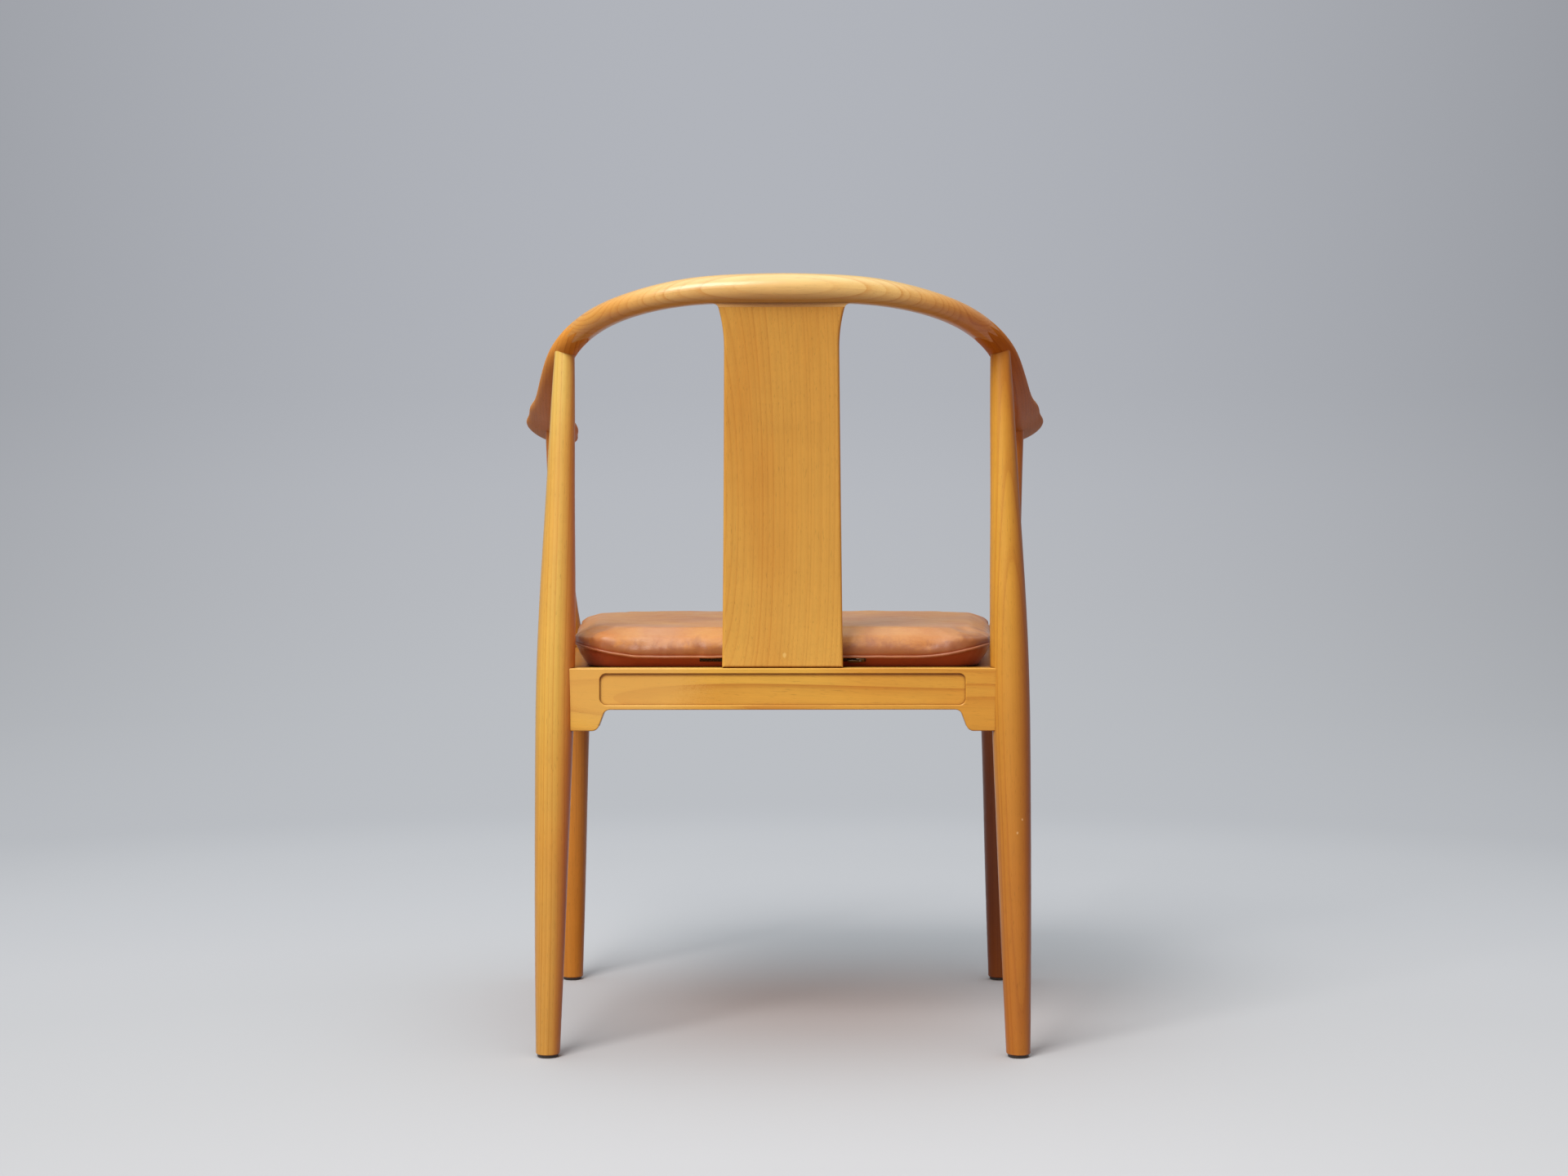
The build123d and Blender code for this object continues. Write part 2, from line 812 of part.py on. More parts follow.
# Labels and files
pieces = {
    "crest_rail": crest_rail,
    "arm_left": arm_left,
    "arm_right": arm_right,
    "leg_rear_left": leg_rear_left,
    "leg_rear_right": leg_rear_right,
    "leg_front_left": leg_front_left,
    "leg_front_right": leg_front_right,
    "seat_rail_back": seat_rail_back,
    "seat_rail_front": seat_rail_front,
    "seat_rail_left": seat_rail_left,
    "seat_rail_right": seat_rail_right,
    "back_splat": back_splat,
    "seat_board": seat_board,
    "corner_block_rear_left": corner_block_rear_left,
    "corner_block_rear_right": corner_block_rear_right,
    "corner_block_front_left": corner_block_front_left,
    "corner_block_front_right": corner_block_front_right,
    "corner_block_screws": corner_block_screws,
    "glide_rear_left": glide_rear_left,
    "glide_rear_right": glide_rear_right,
    "glide_front_left": glide_front_left,
    "glide_front_right": glide_front_right,
    "cushion_cover": cushion_cover,
    "cushion_core": cushion_core,
    "cushion_piping": cushion_piping,
    "cushion_zip": cushion_zip,
}
for name, piece in pieces.items():
    piece.part.label = name
    export_step(piece.part, f"parts/{name}.step")
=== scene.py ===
import bmesh
import bpy
import math
from mathutils import Matrix, Vector, noise
from mathutils.bvhtree import BVHTree


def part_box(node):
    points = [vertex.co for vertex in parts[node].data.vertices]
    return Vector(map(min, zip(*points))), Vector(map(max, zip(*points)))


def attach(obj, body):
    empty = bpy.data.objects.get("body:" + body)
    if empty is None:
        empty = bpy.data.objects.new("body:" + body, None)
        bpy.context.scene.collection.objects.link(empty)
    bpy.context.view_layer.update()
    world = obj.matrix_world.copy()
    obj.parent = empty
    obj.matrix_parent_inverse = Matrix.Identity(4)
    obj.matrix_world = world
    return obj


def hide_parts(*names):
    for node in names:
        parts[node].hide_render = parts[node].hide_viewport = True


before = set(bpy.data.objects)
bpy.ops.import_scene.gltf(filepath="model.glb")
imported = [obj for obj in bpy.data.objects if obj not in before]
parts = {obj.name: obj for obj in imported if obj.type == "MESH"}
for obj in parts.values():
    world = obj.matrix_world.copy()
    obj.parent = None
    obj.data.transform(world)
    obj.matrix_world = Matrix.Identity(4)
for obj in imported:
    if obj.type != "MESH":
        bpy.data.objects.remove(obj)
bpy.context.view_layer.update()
print("chair frame loaded,", len(parts), "pieces")


# small helpers for shader trees

def newMaterial(name):
    material = bpy.data.materials.new(name)
    material.use_nodes = True
    tree = material.node_tree
    tree.nodes.clear()
    output = tree.nodes.new("ShaderNodeOutputMaterial")
    shader = tree.nodes.new("ShaderNodeBsdfPrincipled")
    tree.links.new(shader.outputs["BSDF"], output.inputs["Surface"])
    return material, tree, shader


def feed(tree, socket, value):
    # a socket takes a link or a plain value
    if isinstance(value, bpy.types.NodeSocket):
        tree.links.new(value, socket)
    else:
        socket.default_value = value


def objectPlace(tree):
    return tree.nodes.new("ShaderNodeTexCoord").outputs["Object"]


def calc(tree, operation, first, second=0.0, third=0.0):
    node = tree.nodes.new("ShaderNodeMath")
    node.operation = operation
    for socket, value in zip(node.inputs, (first, second, third)):
        feed(tree, socket, value)
    return node.outputs[0]


def vectorCalc(tree, operation, first, second=(0, 0, 0), output="Vector"):
    node = tree.nodes.new("ShaderNodeVectorMath")
    node.operation = operation
    feed(tree, node.inputs[0], first)
    feed(tree, node.inputs[1], second)
    return node.outputs[output]


def scaledBy(tree, vector, factor):
    node = tree.nodes.new("ShaderNodeVectorMath")
    node.operation = "SCALE"
    feed(tree, node.inputs[0], vector)
    feed(tree, node.inputs["Scale"], factor)
    return node.outputs["Vector"]


def splitAxes(tree, vector):
    node = tree.nodes.new("ShaderNodeSeparateXYZ")
    feed(tree, node.inputs[0], vector)
    return node.outputs


def mapped(tree, vector, location=(0, 0, 0), rotation=(0, 0, 0), scale=(1, 1, 1)):
    node = tree.nodes.new("ShaderNodeMapping")
    feed(tree, node.inputs["Vector"], vector)
    node.inputs["Location"].default_value = location
    node.inputs["Rotation"].default_value = rotation
    node.inputs["Scale"].default_value = scale
    return node.outputs["Vector"]


def cloudy(tree, vector, scale, detail=2.0, roughness=0.5, distortion=0.0, output="Fac"):
    node = tree.nodes.new("ShaderNodeTexNoise")
    feed(tree, node.inputs["Vector"], vector)
    node.inputs["Scale"].default_value = scale
    node.inputs["Detail"].default_value = detail
    node.inputs["Roughness"].default_value = roughness
    node.inputs["Distortion"].default_value = distortion
    return node.outputs[output]


def ramped(tree, factor, stops, interpolation="LINEAR"):
    node = tree.nodes.new("ShaderNodeValToRGB")
    node.color_ramp.interpolation = interpolation
    elements = node.color_ramp.elements
    while len(elements) < len(stops):
        elements.new(0.5)
    for element, (position, colour) in zip(elements, stops):
        element.position = position
        element.color = (*colour, 1)
    feed(tree, node.inputs["Fac"], factor)
    return node.outputs["Color"]


def grey(level):
    return (level, level, level)


def spread(tree, value, low, high, toLow=0.0, toHigh=1.0, smooth=False):
    node = tree.nodes.new("ShaderNodeMapRange")
    node.interpolation_type = "SMOOTHSTEP" if smooth else "LINEAR"
    node.clamp = True
    for socket, number in zip(node.inputs[1:5], (low, high, toLow, toHigh)):
        feed(tree, socket, number)
    feed(tree, node.inputs["Value"], value)
    return node.outputs["Result"]


def mixed(tree, factor, first, second, blend="MIX"):
    node = tree.nodes.new("ShaderNodeMix")
    node.data_type = "RGBA"
    node.blend_type = blend
    node.clamp_factor = True
    feed(tree, node.inputs[0], factor)
    for socket, value in ((node.inputs[6], first), (node.inputs[7], second)):
        feed(tree, socket, (*value, 1) if isinstance(value, tuple) else value)
    return node.outputs[2]


def bumped(tree, shader, height, distance, strength):
    node = tree.nodes.new("ShaderNodeBump")
    node.inputs["Distance"].default_value = distance
    node.inputs["Strength"].default_value = strength
    feed(tree, node.inputs["Height"], height)
    tree.links.new(node.outputs["Normal"], shader.inputs["Normal"])


def dress(node, material):
    parts[node].data.materials.clear()
    parts[node].data.materials.append(material)


# honey coloured wood: growth rings round a pith line, fibres, pores and slow changes of tone

wood = {
    "early": (0.690, 0.375, 0.050),
    "late": (0.460, 0.180, 0.019),
    "reddish": (0.580, 0.220, 0.022),
    "redness": 0.70,
    "patchScale": 11.0,
    "ringWidth": 0.0042,
    "ringContrast": 0.80,
    "ringFaintest": 0.25,
    "ringDrift": 2.4,
    "ringDriftPace": 0.3,
    # from one year's start to its end, how far the tone has gone from early to late wood
    "ringShape": [(0.0, 0.5), (0.07, 0.05), (0.35, 0.0), (0.70, 0.28), (0.90, 0.80), (0.97, 1.0)],
    "warp": 0.010,
    "warpScale": 5.0,
    "warpStretch": 0.16,
    # shares of the tone, and how fine and how long the streaks are
    "fibre": 0.16,
    "fibreScale": 900.0,
    "fibreStretch": 0.018,
    "streak": 0.14,
    "streakScale": 190.0,
    "silk": 0.10,
    "silkScale": 26.0,
    "pores": 0.22,
    "poreScale": 1500.0,
    "poreStretch": 0.07,
    # painted shade in the corners where two pieces meet
    "cornerShadeReach": 0.0045,
    "cornerShadeDepth": 0.95,
    "cornerShadeTint": (0.30, 0.16, 0.09),
    "roughness": 0.40,
    "roughnessSpan": 0.12,
    "index": 1.47,
    "specular": 0.26,
    "coat": 0.34,
    "coatRoughness": 0.27,
    "relief": 0.00012,
    "reliefStrength": 0.5,
}


def bendGrain(tree, grain, look):
    # slow wander of the rings along the length
    seed = look["seed"]
    wander = mapped(tree, grain, location=(seed, 2 * seed, 0), scale=(1, 1, look["warpStretch"]))
    shake = cloudy(tree, wander, look["warpScale"], 2.0, 0.45, output="Color")
    shake = vectorCalc(tree, "SUBTRACT", shake, grey(0.5))
    shake = vectorCalc(tree, "MULTIPLY", shake, grey(2 * look["warp"]))
    return vectorCalc(tree, "ADD", grain, shake)


def yearLines(tree, bent, look):
    # uneven years, each with a soft early side and a darker late line
    radius = vectorCalc(tree, "LENGTH", vectorCalc(tree, "MULTIPLY", bent, (1, 1, 0)), output="Value")
    drift = tree.nodes.new("ShaderNodeTexNoise")
    drift.noise_dimensions = "1D"
    feed(tree, drift.inputs["W"], radius)
    drift.inputs["Scale"].default_value = look["ringDriftPace"] / look["ringWidth"]
    drift.inputs["Detail"].default_value = 2.0
    years = calc(tree, "DIVIDE", radius, look["ringWidth"])
    years = calc(tree, "MULTIPLY_ADD", drift.outputs["Fac"], look["ringDrift"], years)
    shape = [(position, grey(level)) for position, level in look["ringShape"]]
    line = ramped(tree, calc(tree, "FRACT", years), shape, "EASE")
    oneYear = tree.nodes.new("ShaderNodeTexWhiteNoise")
    oneYear.noise_dimensions = "1D"
    feed(tree, oneYear.inputs["W"], calc(tree, "FLOOR", years))
    weight = spread(tree, oneYear.outputs["Value"], 0.0, 1.0, look["ringFaintest"], 1.0)
    return calc(tree, "MULTIPLY", calc(tree, "MULTIPLY", line, weight), look["ringContrast"])


def evenShade(tree, shade, pattern, share):
    # darkens and lightens by half the share each way
    return calc(tree, "MULTIPLY", shade, calc(tree, "MULTIPLY_ADD", pattern, share, 1 - share / 2))


def addFades(tree, colour, place, look):
    # tints along one axis of the chair, full at the first place and gone at the second; on the crest and the
    # right front leg they carry painted shade
    for axis, start, end, tint in look.get("fades", ()):
        share = spread(tree, splitAxes(tree, place)[axis], start, end, 1.0, 0.0, smooth=True)
        colour = mixed(tree, share, colour, tint, "MULTIPLY")
    return colour


def addShadedSide(tree, colour, grain, look):
    # painted shade: one side of a leg, turned from the lamp, is darker and redder; the places are counted
    # across the grain
    if "shadedSide" in look:
        edge, inner, tint = look["shadedSide"]
        share = spread(tree, splitAxes(tree, grain)["X"], edge, inner, 1.0, 0.0, smooth=True)
        colour = mixed(tree, share, colour, tint, "MULTIPLY")
    return colour


def addSpots(tree, colour, place, look):
    # small marks in the wood, ragged and soft at their rims
    for centre, size, tint, amount in look.get("spots", ()):
        scaled = mapped(tree, place, location=tuple(-c / s for c, s in zip(centre, size)),
                        scale=tuple(1 / s for s in size))
        away = vectorCalc(tree, "LENGTH", scaled, output="Value")
        ragged = calc(tree, "MULTIPLY_ADD", cloudy(tree, place, 900.0), 0.7, away)
        cover = spread(tree, ragged, 0.9, 1.5, amount, 0.0, smooth=True)
        colour = mixed(tree, cover, colour, tint)
    return colour


def addCornerShade(tree, colour, look):
    # painted shade where two pieces meet: the corner between them is darker
    corner = tree.nodes.new("ShaderNodeAmbientOcclusion")
    corner.samples = 6
    corner.inputs["Distance"].default_value = look["cornerShadeReach"]
    depth = spread(tree, corner.outputs["AO"], 0.35, 0.90, look["cornerShadeDepth"], 0.0, smooth=True)
    return mixed(tree, depth, colour, look["cornerShadeTint"], "MULTIPLY")


def makeWood(name, along, pith, **changes):
    look = {**wood, **changes}
    seed = look["seed"]
    material, tree, shader = newMaterial(name)
    place = objectPlace(tree)
    # the grain's own space: the pith is its Z axis
    turn = Vector(along).rotation_difference(Vector((0, 0, 1)))
    grain = mapped(tree, place, location=-(turn @ Vector(pith)), rotation=turn.to_euler())
    bent = bendGrain(tree, grain, look)
    late = yearLines(tree, bent, look)

    # fibres and pores run with the grain, silk crosses it
    fibreSpace = mapped(tree, bent, location=(3 * seed, seed, 0), scale=(1, 1, look["fibreStretch"]))
    fibre = cloudy(tree, fibreSpace, look["fibreScale"], 3.0, 0.6)
    streak = cloudy(tree, fibreSpace, look["streakScale"])
    poreSpace = mapped(tree, bent, location=(seed, 5 * seed, 0), scale=(1, 1, look["poreStretch"]))
    pore = spread(tree, cloudy(tree, poreSpace, look["poreScale"], 1.0, 0.4), 0.63, 0.78)
    patches = cloudy(tree, mapped(tree, grain, location=grey(seed), scale=(1, 1, 0.3)), look["patchScale"])
    silk = cloudy(tree, mapped(tree, grain, location=grey(seed), scale=(0.5, 0.5, 1.6)), look["silkScale"])

    colour = mixed(tree, late, look["early"], look["late"])
    red = spread(tree, patches, 0.38, 0.70, 0.0, look["redness"], smooth=True)
    colour = mixed(tree, red, colour, look["reddish"])
    shade = calc(tree, "MULTIPLY_ADD", fibre, look["fibre"], 1 - look["fibre"] / 2)
    shade = evenShade(tree, shade, streak, look["streak"])
    shade = evenShade(tree, shade, silk, look["silk"])
    shade = calc(tree, "MULTIPLY", shade, calc(tree, "MULTIPLY_ADD", pore, -look["pores"], 1.0))
    colour = scaledBy(tree, colour, shade)
    colour = addFades(tree, colour, place, look)
    colour = addShadedSide(tree, colour, grain, look)
    colour = addSpots(tree, colour, place, look)
    colour = addCornerShade(tree, colour, look)
    tree.links.new(colour, shader.inputs["Base Color"])

    span = look["roughnessSpan"]
    rough = calc(tree, "MULTIPLY_ADD", fibre, span, look["roughness"] - span / 2)
    rough = calc(tree, "MULTIPLY_ADD", pore, span, rough)
    tree.links.new(rough, shader.inputs["Roughness"])
    shader.inputs["IOR"].default_value = look["index"]
    shader.inputs["Specular IOR Level"].default_value = look["specular"]
    shader.inputs["Coat Weight"].default_value = look["coat"]
    shader.inputs["Coat Roughness"].default_value = look["coatRoughness"]
    relief = calc(tree, "MULTIPLY_ADD", pore, -0.7, fibre)
    relief = calc(tree, "MULTIPLY_ADD", late, 0.5, relief)
    bumped(tree, shader, relief, look["relief"], look["reliefStrength"])
    return material


# hands have worn the arms dull
dull = dict(coat=0.02, specular=0.07, roughness=0.46)
timbers = {
    "crest_rail": dict(along=(1, 0, 0.02), pith=(0.02, 0.195, 0.798), seed=1.3,
                       early=(0.68, 0.480, 0.175), late=(0.52, 0.270, 0.060), redness=0.30, warp=0.007,
                       # the crest's underside and right end are darker as painted shade, and its left end is
                       # darker and redder
                       coat=0.80, fades=[("Z", 0.762, 0.804, (1.0, 0.96, 0.84)),
                                         ("X", 0.200, 0.110, (0.94, 0.74, 0.46)),
                                         ("X", -0.200, -0.095, (0.98, 0.68, 0.44))]),
    "arm_left": dict(along=(0.10, -1.0, -0.20), pith=(0.18, 0.0, 0.69), seed=2.7,
                     early=(0.68, 0.300, 0.052), late=(0.47, 0.160, 0.024), **dull),
    "arm_right": dict(along=(-0.10, -1.0, -0.20), pith=(-0.20, 0.0, 0.66), seed=3.1,
                      early=(0.54, 0.190, 0.022), late=(0.37, 0.100, 0.011), **dull),
    "leg_rear_left": dict(along=(-0.023, -0.066, 1), pith=(0.305, 0.150, 0.4), seed=4.9,
                          early=(0.68, 0.500, 0.125), late=(0.56, 0.320, 0.055), redness=0.40,
                          # painted shade down the leg's side turned away from the lamp
                          coat=0.45, shadedSide=(-0.084, -0.066, (0.86, 0.44, 0.45)),
                          fades=[("Z", 0.30, 0.72, (1.0, 0.82, 0.60)),
                                 ("Z", 0.0, 0.38, (0.94, 0.82, 0.84))]),
    "leg_rear_right": dict(along=(0.030, -0.055, 1), pith=(-0.215, 0.09, 0.4), seed=5.3,
                           early=(0.64, 0.345, 0.044), late=(0.44, 0.155, 0.017), redness=0.75,
                           fades=[("Z", 0.10, 0.66, (0.80, 0.58, 0.64))],
                           # painted shade down the leg's side turned away from the lamp
                           shadedSide=(-0.046, -0.026, (0.66, 0.46, 0.66)),
                           spots=[((-0.2440, 0.135, 0.727), (0.0050, 0.05, 0.020),
                                   (0.34, 0.130, 0.030), 0.55),
                                  ((-0.2517, 0.150, 0.659), (0.0045, 0.05, 0.024),
                                   (0.36, 0.140, 0.030), 0.40),
                                  ((-0.2471, 0.187, 0.238), (0.0011, 0.05, 0.0016),
                                   (0.72, 0.48, 0.22), 0.85),
                                  ((-0.2524, 0.187, 0.252), (0.0010, 0.05, 0.0014),
                                   (0.72, 0.48, 0.22), 0.85)]),
    "leg_front_left": dict(along=(0, 0, 1), pith=(0.33, -0.19, 0.4), seed=6.1,
                           early=(0.60, 0.240, 0.034), late=(0.43, 0.135, 0.018)),
    # darker than the left front leg, and much darker low down: painted shadow from the seat and the right
    # rear leg
    "leg_front_right": dict(along=(0, 0, 1), pith=(-0.35, -0.21, 0.4), seed=7.7,
                            early=(0.50, 0.180, 0.022), late=(0.36, 0.105, 0.012),
                            fades=[("Z", 0.22, 0.42, (0.50, 0.36, 0.22))]),
    "seat_rail_back": dict(along=(1, 0.02, 0.045), pith=(0.0, 0.235, 0.375), seed=8.4, ringWidth=0.0065,
                           warp=0.016, warpScale=4.0, early=(0.72, 0.425, 0.066),
                           late=(0.44, 0.170, 0.018), redness=0.50, ringContrast=1.0,
                           spots=[((0.170, 0.180, 0.390), (0.090, 0.10, 0.050),
                                   (0.76, 0.470, 0.125), 0.55)]),
    "seat_rail_front": dict(along=(1, 0, -0.03), pith=(0.0, -0.30, 0.37), seed=9.2, ringWidth=0.006),
    "seat_rail_left": dict(along=(0.05, 1, 0.02), pith=(0.31, 0.0, 0.36), seed=10.6, ringWidth=0.006),
    "seat_rail_right": dict(along=(-0.05, 1, 0.03), pith=(-0.32, 0.0, 0.43), seed=11.9, ringWidth=0.006),
    "back_splat": dict(along=(0, 0.22, 1), pith=(0.080, 0.160, 0.55), seed=12.4, ringWidth=0.0046,
                       ringContrast=0.56, early=(0.70, 0.402, 0.076), late=(0.53, 0.225, 0.030),
                       redness=0.45, warp=0.007,
                       spots=[((-0.002, 0.178, 0.4245), (0.0022, 0.02, 0.0030), (0.80, 0.55, 0.17), 0.8)]),
    # the seat board's darker tone is painted shade under the cushion
    "seat_board": dict(along=(1, 0, 0), pith=(0, 0, 0.2), seed=13.3, early=(0.45, 0.21, 0.05)),
    "corner_block_rear_left": dict(along=(1, 1, 0), pith=(0.2, 0.1, 0.3), seed=14.2),
    "corner_block_rear_right": dict(along=(1, -1, 0), pith=(-0.2, 0.1, 0.3), seed=15.8),
    "corner_block_front_left": dict(along=(1, -1, 0), pith=(0.2, -0.1, 0.3), seed=16.4),
    "corner_block_front_right": dict(along=(1, 1, 0), pith=(-0.2, -0.1, 0.3), seed=17.9),
}
for node, settings in timbers.items():
    dress(node, makeWood("wood_" + node, **settings))
print("wood finished on", len(timbers), "pieces")


# steel screws and hard plastic glides

steel = {
    "dark": (0.46, 0.45, 0.43),
    "light": (0.62, 0.61, 0.58),
    "smearScale": 420.0,
    "roughness": (0.24, 0.42),
}
glide = {
    "dark": (0.022, 0.018, 0.015),
    "dusty": (0.06, 0.052, 0.045),
    "dustScale": 260.0,
    "roughness": (0.42, 0.62),
    "grainScale": 1400.0,
    "relief": 0.0001,
}


def makeSteel():
    material, tree, shader = newMaterial("screw_steel")
    smear = cloudy(tree, objectPlace(tree), steel["smearScale"], 3.0)
    colour = ramped(tree, smear, [(0.3, steel["dark"]), (0.7, steel["light"])])
    tree.links.new(colour, shader.inputs["Base Color"])
    tree.links.new(spread(tree, smear, 0.2, 0.8, *steel["roughness"]), shader.inputs["Roughness"])
    shader.inputs["Metallic"].default_value = 1.0
    return material


def makeGlide():
    material, tree, shader = newMaterial("glide_plastic")
    place = objectPlace(tree)
    dust = cloudy(tree, place, glide["dustScale"], 4.0, 0.6)
    colour = ramped(tree, dust, [(0.35, glide["dark"]), (0.75, glide["dusty"])])
    tree.links.new(colour, shader.inputs["Base Color"])
    tree.links.new(spread(tree, dust, 0.3, 0.8, *glide["roughness"]), shader.inputs["Roughness"])
    bumped(tree, shader, cloudy(tree, place, glide["grainScale"]), glide["relief"], 0.3)
    return material


glideFinish = makeGlide()
for node in parts:
    if node.startswith("glide_"):
        dress(node, glideFinish)
dress("corner_block_screws", makeSteel())
print("screws and glides finished")


# loose leather cushion: a sewn form, blown up as cloth, then creased along its seams

pipeLow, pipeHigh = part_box("cushion_piping")
coverLow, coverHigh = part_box("cushion_cover")
zipLow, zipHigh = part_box("cushion_zip")
cushion = {
    "frontHalf": 0.2480,
    "rearHalf": 0.2240,
    "corner": 0.046,
    "cornerSteps": 10,
    "front": coverLow.y + 0.002,
    "rear": coverHigh.y - 0.002,
    "bottom": coverLow.z,
    "welt": (pipeLow.z + pipeHigh.z) / 2,
    "top": coverHigh.z - 0.0035,
    # the band under the welt draws in, the crown above it is a full round
    "tuck": 0.015,
    "crown": 0.026,
    "fullness": 3.0,
    "bulge": 0.0040,
    "crownSteps": 10,
    "shrink": 0.001,
    # the welt climbs towards the corners, and sags a little along the sides
    "weltRise": 0.0136,
    "riseReach": 0.076,
    "riseCurve": 1.6,
    "riseFade": 1.3,
    "sideSag": 0.45,
    # cloth
    "voxel": 0.005,
    "pressure": 2.5,
    "frames": 16,
    "cap": 0.003,
    "seamHeld": 0.004,
    "bottomHeld": 0.003,
    # puckers at the seam, with calm stretches between them, and softer waves on top
    "pucker": 0.0016,
    "puckerScale": 95,
    "puckerAbove": 0.009,
    "puckerBelow": 0.008,
    "calmest": 0.35,
    "calmScale": 14,
    "hollow": 0.0014,
    "hollowScale": 9,
    "loose": 0.0007,
    "looseScale": 34,
}


def planCorners(inset):
    look = cushion
    front, rear = look["frontHalf"] - inset, look["rearHalf"] - inset
    return [(-front, look["front"] + inset), (front, look["front"] + inset),
            (rear, look["rear"] - inset), (-rear, look["rear"] - inset)]


def addRing(bm, height, inset):
    # one rounded outline of the cushion, as a loop of edges
    before = set(bm.edges)
    corners = [bm.verts.new((x, y, height)) for x, y in planCorners(inset)]
    bm.faces.new(corners)
    bmesh.ops.bevel(bm, geom=corners, offset=cushion["corner"] - 0.6 * inset, offset_type="OFFSET",
                    segments=cushion["cornerSteps"], profile=0.5, affect="VERTICES", material=-1)
    return [edge for edge in bm.edges if edge not in before]


def ringHeights():
    # height and inset of each outline, from the bottom over the welt to the top
    look = cushion
    heights = [(look["bottom"], look["tuck"]), (look["welt"], look["shrink"])]
    rise = look["top"] - look["welt"]
    power = 2 / look["fullness"]
    for step in range(1, look["crownSteps"] + 1):
        turn = step / look["crownSteps"] * math.pi / 2
        drawnIn = look["crown"] * (1 - max(0, math.cos(turn)) ** power)
        heights.append((look["welt"] + rise * math.sin(turn) ** power,
                        look["shrink"] + drawnIn - look["bulge"] * math.sin(2 * turn)))
    return heights


def makeCushionForm():
    heights = ringHeights()
    bm = bmesh.new()
    rings = [addRing(bm, *height) for height in heights]
    # only the lowest and the highest outline keep their faces
    middle = [face for face in bm.faces
              if cushion["bottom"] + 0.001 < face.calc_center_median().z < heights[-1][0] - 0.00001]
    bmesh.ops.delete(bm, geom=middle, context="FACES_ONLY")
    for lower, upper in zip(rings, rings[1:]):
        bmesh.ops.bridge_loops(bm, edges=lower + upper)
    bmesh.ops.recalc_face_normals(bm, faces=bm.faces[:])
    return bm


def newPiece(name, bm, smooth=True):
    mesh = bpy.data.meshes.new(name)
    bm.to_mesh(mesh)
    bm.free()
    if smooth:
        mesh.polygons.foreach_set("use_smooth", [True] * len(mesh.polygons))
    piece = bpy.data.objects.new(name, mesh)
    bpy.context.scene.collection.objects.link(piece)
    return piece


def applied(piece):
    # what the modifiers make of the mesh becomes the mesh
    graph = bpy.context.evaluated_depsgraph_get()
    mesh = bpy.data.meshes.new_from_object(piece.evaluated_get(graph))
    old = piece.data
    piece.modifiers.clear()
    piece.data = mesh
    mesh.name = piece.name
    bpy.data.meshes.remove(old)


def blowUp(piece):
    # the leather swells against its seams for a few frames, and no point goes further than the cap
    look = cushion
    start = [point.co.copy() for point in piece.data.vertices]
    held = piece.vertex_groups.new(name="held")
    for point in piece.data.vertices:
        nearSeam = abs(point.co.z - look["welt"]) < look["seamHeld"]
        if nearSeam or point.co.z - look["bottom"] < look["bottomHeld"]:
            held.add([point.index], 1.0, "REPLACE")
    cloth = piece.modifiers.new("cloth", "CLOTH")
    cloth.settings.use_pressure = True
    cloth.settings.uniform_pressure_force = look["pressure"]
    cloth.settings.effector_weights.gravity = 0
    cloth.settings.vertex_group_mass = "held"
    cloth.settings.quality = 5
    cloth.point_cache.frame_start = 1
    cloth.point_cache.frame_end = look["frames"]
    for frameNumber in range(1, look["frames"] + 1):
        bpy.context.scene.frame_set(frameNumber)
    applied(piece)
    for point, rest in zip(piece.data.vertices, start):
        move = point.co - rest
        if move.length > look["cap"]:
            point.co = rest + move * (look["cap"] / move.length)
    bpy.context.scene.frame_set(1)


def weltClimb(x, y):
    # height of the welt over its lowest line: none along the front and the back, most at the corners
    look = cushion
    share = max(0.0, min(1.0, (y - look["front"]) / (look["rear"] - look["front"])))
    half = look["frontHalf"] + (look["rearHalf"] - look["frontHalf"]) * share
    climb = max(0.0, min(1.0, 1 - (half - abs(x)) / look["riseReach"])) ** look["riseCurve"]
    return look["weltRise"] * (climb * (1 - look["sideSag"] * (4 * share * (1 - share)) ** 2))


def waves(x, y, scale, layer):
    return noise.noise(Vector((x * scale, y * scale, layer)))


